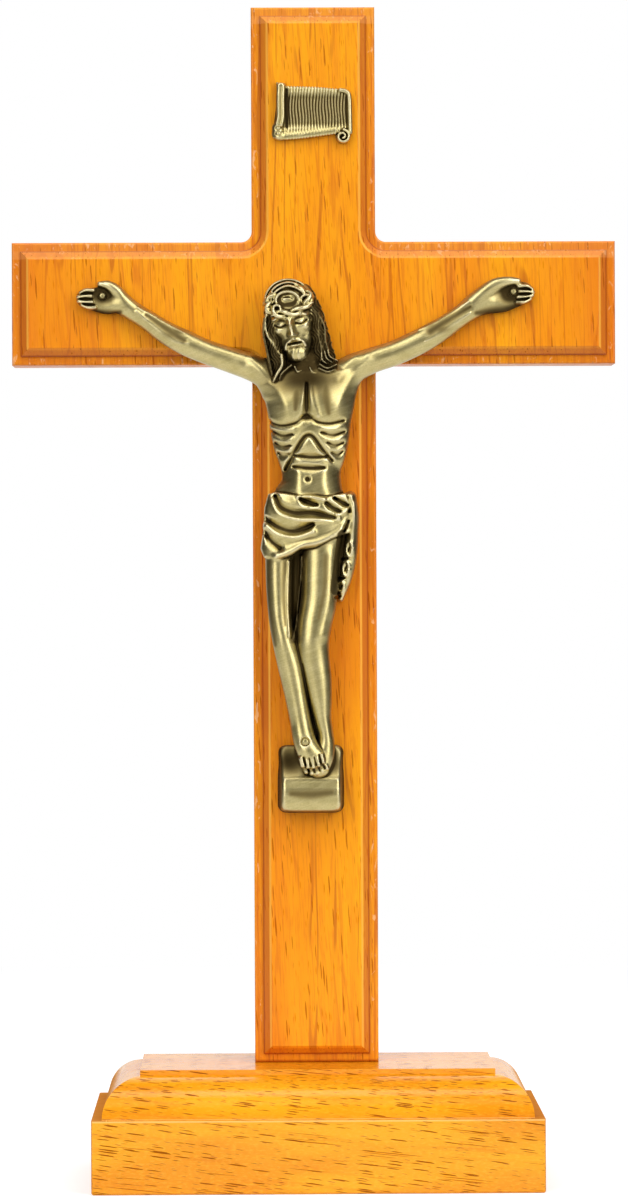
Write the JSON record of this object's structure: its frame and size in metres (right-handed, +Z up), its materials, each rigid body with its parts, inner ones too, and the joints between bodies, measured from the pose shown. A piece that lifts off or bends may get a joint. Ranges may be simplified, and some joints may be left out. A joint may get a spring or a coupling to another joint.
{
  "type": "standing crucifix",
  "caption": "Table crucifix: a moulded wooden cross with a raised panel on a moulded wooden base, with a cast metal figure and a bare title scroll nailed and pegged to its front.",
  "frame": {"origin": "middle of the base's underside, on the surface that it stands on", "axes": "+Z up along the post, +X along the arms to the viewer's right, -Y out of the front that carries the figure"},
  "size_m": [0.1132, 0.046, 0.22],
  "materials": {
    "base_wood": "golden orange stain under gloss varnish",
    "cross_wood": "orange stain under gloss varnish",
    "dowel_wood": "bare",
    "screw_steel": "zinc plated",
    "casting": "antique bronze, brushed bright on the high places and dark in the hollows",
    "nail_metal": "antique bronze"
  },
  "bodies": {
    "root": {"base_block": "base_wood", "cross_board": "cross_wood", "dowel_left": "dowel_wood", "dowel_right": "dowel_wood", "base_screw": "screw_steel", "corpus": "casting", "title_scroll": "casting", "hand_nail_left": "nail_metal", "hand_nail_right": "nail_metal", "foot_nail": "nail_metal"}
  },
  "joints": []
}
